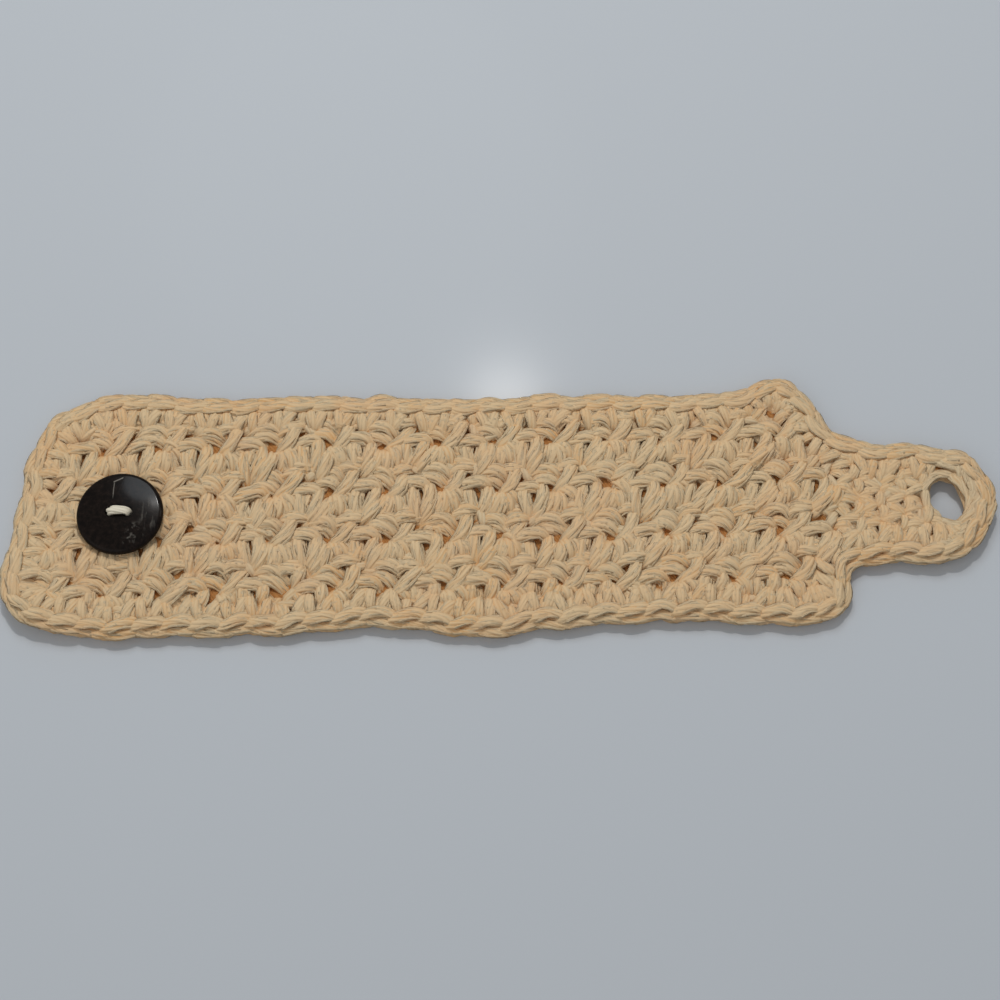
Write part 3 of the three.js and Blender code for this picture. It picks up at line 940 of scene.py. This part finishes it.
def shell_material():
    """Polished shell: near black, with pale fibres on end, fine scratches and a rubbed grey patch."""
    material, graph, shader = new_material("coconut_shell")
    place = graph.node("ShaderNodeTexCoord").outputs["Object"]
    grain = texture(graph, "ShaderNodeTexNoise", place, 700.0, Detail=4.0, Roughness=0.7)
    streak_place = graph.node("ShaderNodeMapping", sockets={"Vector": place, "Scale": (1.0, 0.22, 1.0)})
    streaks = texture(graph, "ShaderNodeTexNoise", streak_place.outputs[0], 900.0, Detail=3.0)
    axes = graph.node("ShaderNodeSeparateXYZ", sockets={0: place}).outputs
    across = (Number(graph, axes[0]) - BUTTON["x"] * MM) * 1000
    up = (Number(graph, axes[1]) - BUTTON["y"] * MM) * 1000
    wobble = (grain - 0.5) * 4

    def distance_to(x, y, squash=1.0):
        from_x, from_y = across - x, (up - y) * squash
        return (from_x * from_x + from_y * from_y).math("SQRT")

    blotches = texture(graph, "ShaderNodeTexNoise", place, 800.0, Detail=3.0).step(0.48, 0.66)
    patch = (1 - (distance_to(5.0, -5.6) + wobble).step(0.8, 3.4)) * blotches
    lower_patch = (1 - (distance_to(3.4, -8.8) + wobble).step(0.4, 2.2)) * blotches
    rubs = (1 - distance_to(8.8, -0.6, 0.7).step(1.6, 4.2)) * streaks.step(0.56, 0.7)
    line = (across + 2.0 + wobble * 0.05).math("ABSOLUTE")
    scratch = (1 - line.step(0.04, 0.22)) * up.step(3.9, 4.3) * (1 - up.step(8.8, 9.4)) * grain.step(0.3, 0.5)
    from_hook = up - 9.4 - (across + 2.2) * 0.5 + wobble * 0.05
    hook = (1 - from_hook.math("ABSOLUTE").step(0.04, 0.3)) * across.step(-2.4, -2.1)
    hook = hook * (1 - across.step(0.2, 0.6))
    marks = patch * 0.24 + lower_patch * 0.2 + rubs * 0.16 + scratch * 0.4 + hook * 0.6
    marks = marks.math("MINIMUM", 1.0)
    body = blend(graph, grain.step(0.35, 0.75), (0.006, 0.004, 0.003, 1), (0.018, 0.011, 0.008, 1))
    graph.feed(shader.inputs["Base Color"], blend(graph, marks, body, (0.42, 0.38, 0.32, 1)))
    graph.feed(shader.inputs["Roughness"], marks * 0.4 + grain * 0.12 + 0.2)
    shader.inputs["Coat Roughness"].default_value = 0.12
    shader.inputs["Coat Weight"].default_value = 0.15
    shader.inputs["Specular IOR Level"].default_value = 0.04
    bump = graph.node(
        "ShaderNodeBump", sockets={"Distance": 0.05 * MM, "Height": grain + marks, "Strength": 0.6}
    )
    graph.feed(shader.inputs["Normal"], bump.outputs[0])
    return material


def turned_disc():
    """A revolved blank with a domed face, from the middle of its back to the middle of its face."""
    profile = [(0, 0)]
    radius, thick, rim, crown = (BUTTON[name] for name in ("radius", "thick", "rim", "crown"))
    profile += [(radius * share, 0) for share in (0.3, 0.6, 0.85)]
    edge_top = thick - crown
    for i in range(7):
        angle = math.radians(-90 + 15 * i)
        profile.append((radius - rim + rim * math.cos(angle), rim + rim * math.sin(angle)))
    for i in range(7):
        angle = math.radians(15 * i)
        profile.append((radius - rim + rim * math.cos(angle), edge_top - rim + rim * math.sin(angle)))
    for i in range(1, 9):
        share = 1 - i / 8
        reach = (radius - rim) * share
        profile.append((reach, thick - crown * share * share))
    turns = 96
    vertices, faces = [], []
    for k in range(turns):
        angle = math.tau * k / turns
        for reach, z in profile[1:-1]:
            vertices.append((reach * math.cos(angle), reach * math.sin(angle), z))
    rings = len(profile) - 2
    low, high = len(vertices), len(vertices) + 1
    vertices += [(0, 0, 0), (0, 0, thick)]
    for k in range(turns):
        here, there = k * rings, (k + 1) % turns * rings
        faces.append((low, there, here))
        faces.append((high, here + rings - 1, there + rings - 1))
        for i in range(rings - 1):
            faces.append((here + i, there + i, there + i + 1, here + i + 1))
    centre = Vector((BUTTON["x"], BUTTON["y"], BUTTON["seat"]))
    mesh = bpy.data.meshes.new("coconut_button")
    mesh.from_pydata([(Vector(v) + centre) * MM for v in vertices], [], faces)
    return mesh


def drill(x):
    """A cutter for one of the button's holes."""
    turns = 32
    vertices = []
    for z in (BUTTON["seat"] - 2, BUTTON["seat"] + BUTTON["thick"] + 2):
        for k in range(turns):
            angle = math.tau * k / turns
            reach = BUTTON_HOLES["radius"]
            vertices.append(
                Vector((x + reach * math.cos(angle), BUTTON["y"] + reach * math.sin(angle), z)) * MM
            )
    faces = [(k, (k + 1) % turns, (k + 1) % turns + turns, k + turns) for k in range(turns)]
    faces += [tuple(reversed(range(turns))), tuple(range(turns, 2 * turns))]
    mesh = bpy.data.meshes.new("drill")
    mesh.from_pydata(vertices, [], faces)
    cutter = bpy.data.objects.new("drill", mesh)
    bpy.context.scene.collection.objects.link(cutter)
    return cutter


coconut_button = bpy.data.objects.new("coconut_button", turned_disc())
bpy.context.scene.collection.objects.link(coconut_button)
drills = [drill(BUTTON["x"] + side * BUTTON_HOLES["spacing"] / 2) for side in (-1, 1)]
for cutter in drills:
    bored = coconut_button.modifiers.new("hole", "BOOLEAN")
    bored.object = cutter
plain_mesh(coconut_button)
for cutter in drills:
    bpy.data.objects.remove(cutter)
coconut_button.data.shade_smooth()
coconut_button.data.set_sharp_from_angle(angle=math.radians(50))
coconut_button.data.materials.append(shell_material())
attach(coconut_button, "root")
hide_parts("button")

# ---------------------------------------------------------------------------------------------------
# The sewing yarn: one length of pale cotton, up through one hole and down through the other, and
# tied off in the cloth below.
# ---------------------------------------------------------------------------------------------------


def sewing_strand():
    """Up through one hole and down through the other, with both ends under the button."""
    half = BUTTON_HOLES["spacing"] / 2 - 0.1
    right = [
        (0.0, 1.2), (1.6, 1.2), (half - 0.2, 1.8), (half, 3.2), (half, 8.3), (half - 0.4, 9.5), (1.3, 9.85),
    ]
    left = [(-x, z) for x, z in reversed(right[:-1])]
    path = right + [(0.0, 9.9), (-1.3, 9.85)] + left + [(0.8, 1.25)]
    return [(BUTTON["x"] + x, BUTTON["y"], z, 1.05) for x, z in path]


PALE_COTTON = yarn_material(
    "sewing_cotton", (0.95, 0.86, 0.68, 1), (0.85, 0.66, 0.42, 1), (0.95, 0.84, 0.64, 1)
)
sewing = yarn_piece("button_yarn", [sewing_strand()], ring_step=0.5, material=PALE_COTTON)
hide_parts("sewing_yarn")

# ---------------------------------------------------------------------------------------------------
# The table: a plain pale board, with a small lamp and a soft window behind it, a broad fill from the
# front left, and a camera that looks down on the wrap from the front.
# ---------------------------------------------------------------------------------------------------

LENS = 64.8
VIEW_ELEVATION = math.radians(68)
VIEW_DISTANCE = 0.5279
VIEW_TARGET = Vector((-0.0007, 0.0033, 0))


def floor():
    """The board, which is a stage and no part of the wrap."""
    mesh = bpy.data.meshes.new("floor")
    reach = 3.0
    corners = [(-reach, -reach, 0), (reach, -reach, 0), (reach, reach, 0), (-reach, reach, 0)]
    mesh.from_pydata(corners, [], [(0, 1, 2, 3)])
    material, _, shader = new_material("pale_board")
    shader.inputs["Base Color"].default_value = (0.625, 0.65, 0.68, 1)
    shader.inputs["Roughness"].default_value = 0.13
    shader.inputs["Specular IOR Level"].default_value = 0.018
    mesh.materials.append(material)
    board = bpy.data.objects.new("floor", mesh)
    bpy.context.scene.collection.objects.link(board)


def area_light(name, place, size, power, colour):
    """A round lamp that faces the middle of the table."""
    light = bpy.data.lights.new(name, "AREA")
    light.shape = "DISK"
    light.size = size
    light.energy = power
    light.color = colour
    lamp = bpy.data.objects.new(name, light)
    lamp.location = place
    lamp.rotation_euler = (-Vector(place)).to_track_quat("-Z", "Y").to_euler()
    bpy.context.scene.collection.objects.link(lamp)


floor()
area_light("lamp", (0.004, 0.445, 0.87), 0.055, 2.1, (1, 0.98, 0.95))
area_light("window", (-0.12, 0.6, 0.8), 0.35, 1.65, (0.86, 0.94, 1))
area_light("fill", (-0.6, -0.5, 0.8), 1.2, 1.35, (1, 0.97, 0.93))
world = bpy.data.worlds.new("room")
world.use_nodes = True
world.node_tree.nodes["Background"].inputs["Color"].default_value = (0.9, 0.95, 1, 1)
world.node_tree.nodes["Background"].inputs["Strength"].default_value = 0.34
bpy.context.scene.world = world
bpy.context.scene.view_settings.view_transform = "Standard"

lens = bpy.data.cameras.new("camera")
lens.lens = LENS
camera = bpy.data.objects.new("camera", lens)
back = Vector((0, -math.cos(VIEW_ELEVATION), math.sin(VIEW_ELEVATION)))
camera.location = VIEW_TARGET + back * VIEW_DISTANCE
camera.rotation_euler = (math.radians(90) - VIEW_ELEVATION, 0, 0)
bpy.context.scene.collection.objects.link(camera)
bpy.context.scene.camera = camera
